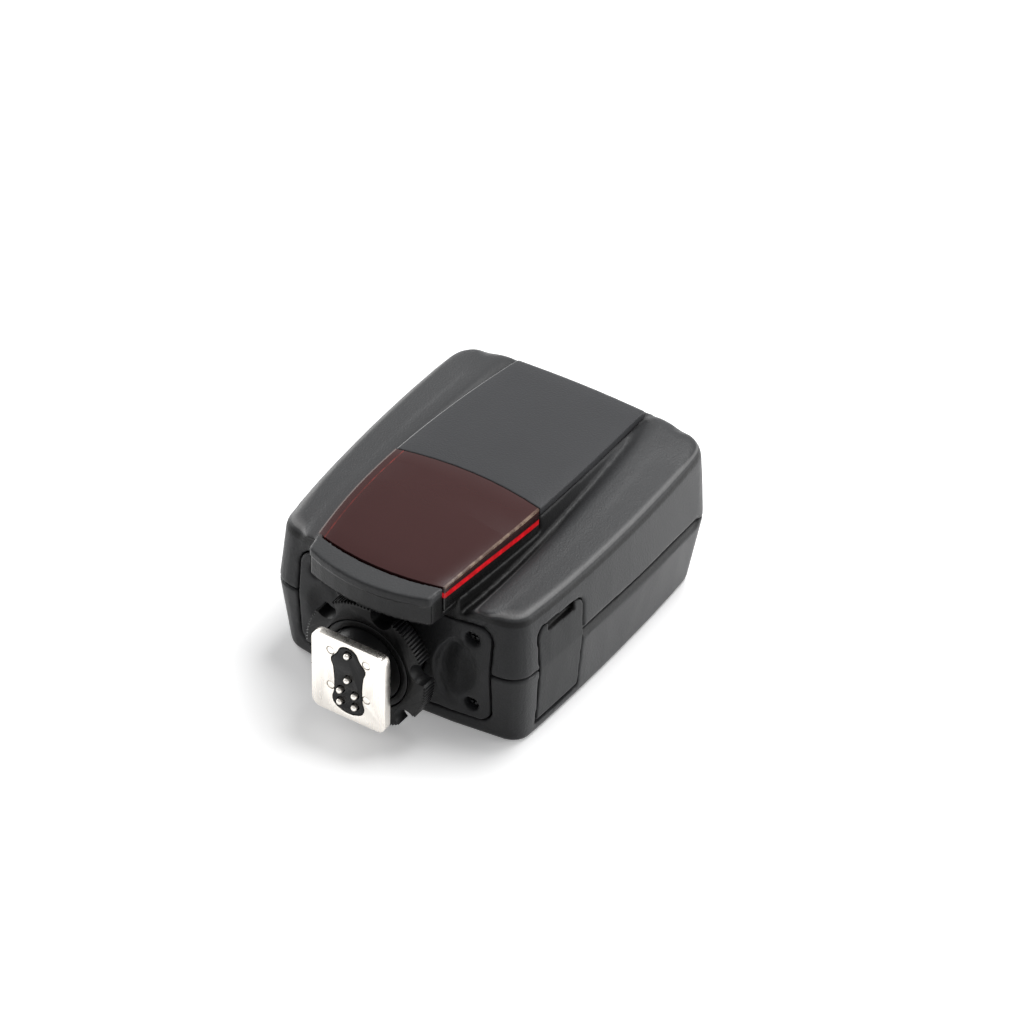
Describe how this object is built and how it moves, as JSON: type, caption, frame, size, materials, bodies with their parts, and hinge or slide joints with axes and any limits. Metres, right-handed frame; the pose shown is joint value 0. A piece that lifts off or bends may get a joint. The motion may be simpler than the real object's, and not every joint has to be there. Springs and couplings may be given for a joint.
{
  "type": "wireless flash trigger",
  "caption": "Hot-shoe wireless flash trigger with a locking wheel, sprung contact pins, a red window, side covers, a display and keys on its back.",
  "frame": {"origin": "bottom centre of the bounding box, on the flat back of the casing", "axes": "+Y from the shoe foot to the far end, +Z from the back with the display up to the front with the window, +X to the side of the port cover"},
  "size_m": [0.0664, 0.0942, 0.0414],
  "materials": {
    "case": "fine matte grain",
    "inner_black": "moulded",
    "foot_black": "satin",
    "window": "tinted clear",
    "key": "satin",
    "dome": "matte",
    "lens": "polished",
    "display": "grey green",
    "led": "clear",
    "board": "solder mask",
    "cell": "plain sleeve",
    "nickel": "nickel plated",
    "steel": "plated",
    "brass": "plain"
  },
  "bodies": {
    "body": {"rear_shell": "case", "front_shell": "case", "front_panel": "case", "visor": "case", "red_window": "window", "lamp_housing": "inner_black", "lamp_leds": "led", "lamp_board": "board", "foot_cover": "case", "cover_screw_1": "steel", "cover_screw_2": "steel", "cover_screw_3": "steel", "cover_screw_4": "steel", "case_screw_1": "steel", "case_screw_2": "steel", "case_screw_3": "steel", "case_screw_4": "steel", "foot_stem": "foot_black", "shoe_plate": "nickel", "shoe_insulator": "foot_black", "plate_rivet_1": "nickel", "plate_rivet_2": "nickel", "plate_rivet_3": "nickel", "plate_rivet_4": "nickel", "sync_socket": "nickel", "jack_socket": "inner_black", "battery_tray": "inner_black", "cell_1": "cell", "cell_2": "cell", "cell_springs": "steel", "cell_contacts": "steel", "main_board": "board", "dome_sheet": "dome", "lcd_module": "display", "lcd_lens": "lens", "rf_module": "steel", "antenna": "brass", "status_light": "led"},
    "ring": {"pressure_ring": "foot_black"},
    "wheel": {"lock_wheel": "foot_black"},
    "lock": {"lock_pin": "nickel"},
    "sync_contact": {"sync_pin": "nickel"},
    "contact_1": {"signal_pin_1": "nickel"},
    "contact_2": {"signal_pin_2": "nickel"},
    "contact_3": {"signal_pin_3": "nickel"},
    "contact_4": {"signal_pin_4": "nickel"},
    "right_cover": {"port_cover": "case"},
    "left_door": {"battery_door": "case"},
    "key_menu_1": {"menu_key_1": "key"},
    "key_menu_2": {"menu_key_2": "key"},
    "key_menu_3": {"menu_key_3": "key"},
    "key_menu_4": {"menu_key_4": "key"},
    "key_up": {"up_key": "key"},
    "key_down": {"down_key": "key"},
    "key_left": {"left_key": "key"},
    "key_right": {"right_key": "key"},
    "key_ok": {"ok_key": "key"},
    "key_test": {"test_button": "key"},
    "switch": {"power_switch": "key"}
  },
  "joints": [
    {"name": "ring_slide", "type": "slide", "parent": "body", "child": "ring", "axis": [0, -1, 0], "range_m": [0, 0.0022]},
    {"name": "wheel_turn", "type": "hinge", "parent": "ring", "child": "wheel", "pos_m": [0, -0.038, 0.0161], "axis": [0, -1, 0], "range_deg": [0, 330]},
    {"name": "lock_pin_slide", "type": "slide", "parent": "body", "child": "lock", "axis": [0, -1, 0], "range_m": [0, 0.0012]},
    {"name": "sync_pin_slide", "type": "slide", "parent": "body", "child": "sync_contact", "axis": [0, 1, 0], "range_m": [0, 0.001], "stiffness_N_per_m": 400},
    {"name": "signal_pin_1_slide", "type": "slide", "parent": "body", "child": "contact_1", "axis": [0, 1, 0], "range_m": [0, 0.001], "stiffness_N_per_m": 400},
    {"name": "signal_pin_2_slide", "type": "slide", "parent": "body", "child": "contact_2", "axis": [0, 1, 0], "range_m": [0, 0.001], "stiffness_N_per_m": 400},
    {"name": "signal_pin_3_slide", "type": "slide", "parent": "body", "child": "contact_3", "axis": [0, 1, 0], "range_m": [0, 0.001], "stiffness_N_per_m": 400},
    {"name": "signal_pin_4_slide", "type": "slide", "parent": "body", "child": "contact_4", "axis": [0, 1, 0], "range_m": [0, 0.001], "stiffness_N_per_m": 400},
    {"name": "port_cover_hinge", "type": "hinge", "parent": "body", "child": "right_cover", "pos_m": [0.03008, -0.0144, 0.0041], "axis": [0.0277, 0.9996, 0], "range_deg": [0, 85]},
    {"name": "battery_door_hinge", "type": "hinge", "parent": "body", "child": "left_door", "pos_m": [-0.02929, -0.00565, 0.0041], "axis": [0.0298, -0.9996, 0], "range_deg": [0, 85]},
    {"name": "menu_key_1_press", "type": "slide", "parent": "body", "child": "key_menu_1", "axis": [0, 0, 1], "range_m": [0, 0.0006], "stiffness_N_per_m": 2000},
    {"name": "menu_key_2_press", "type": "slide", "parent": "body", "child": "key_menu_2", "axis": [0, 0, 1], "range_m": [0, 0.0006], "stiffness_N_per_m": 2000},
    {"name": "menu_key_3_press", "type": "slide", "parent": "body", "child": "key_menu_3", "axis": [0, 0, 1], "range_m": [0, 0.0006], "stiffness_N_per_m": 2000},
    {"name": "menu_key_4_press", "type": "slide", "parent": "body", "child": "key_menu_4", "axis": [0, 0, 1], "range_m": [0, 0.0006], "stiffness_N_per_m": 2000},
    {"name": "up_key_press", "type": "slide", "parent": "body", "child": "key_up", "axis": [0, 0, 1], "range_m": [0, 0.0006], "stiffness_N_per_m": 2000},
    {"name": "down_key_press", "type": "slide", "parent": "body", "child": "key_down", "axis": [0, 0, 1], "range_m": [0, 0.0006], "stiffness_N_per_m": 2000},
    {"name": "left_key_press", "type": "slide", "parent": "body", "child": "key_left", "axis": [0, 0, 1], "range_m": [0, 0.0006], "stiffness_N_per_m": 2000},
    {"name": "right_key_press", "type": "slide", "parent": "body", "child": "key_right", "axis": [0, 0, 1], "range_m": [0, 0.0006], "stiffness_N_per_m": 2000},
    {"name": "ok_key_press", "type": "slide", "parent": "body", "child": "key_ok", "axis": [0, 0, 1], "range_m": [0, 0.0006], "stiffness_N_per_m": 2000},
    {"name": "test_button_press", "type": "slide", "parent": "body", "child": "key_test", "axis": [0, 0, 1], "range_m": [0, 0.0006], "stiffness_N_per_m": 2000},
    {"name": "power_switch_slide", "type": "slide", "parent": "body", "child": "switch", "axis": [1, 0, 0], "range_m": [0, 0.004]}
  ],
  "couplings": [
    {"joint": "wheel_turn", "follows": "ring_slide", "rad_per_m": 2618},
    {"joint": "lock_pin_slide", "follows": "ring_slide", "ratio": 0.54545}
  ]
}
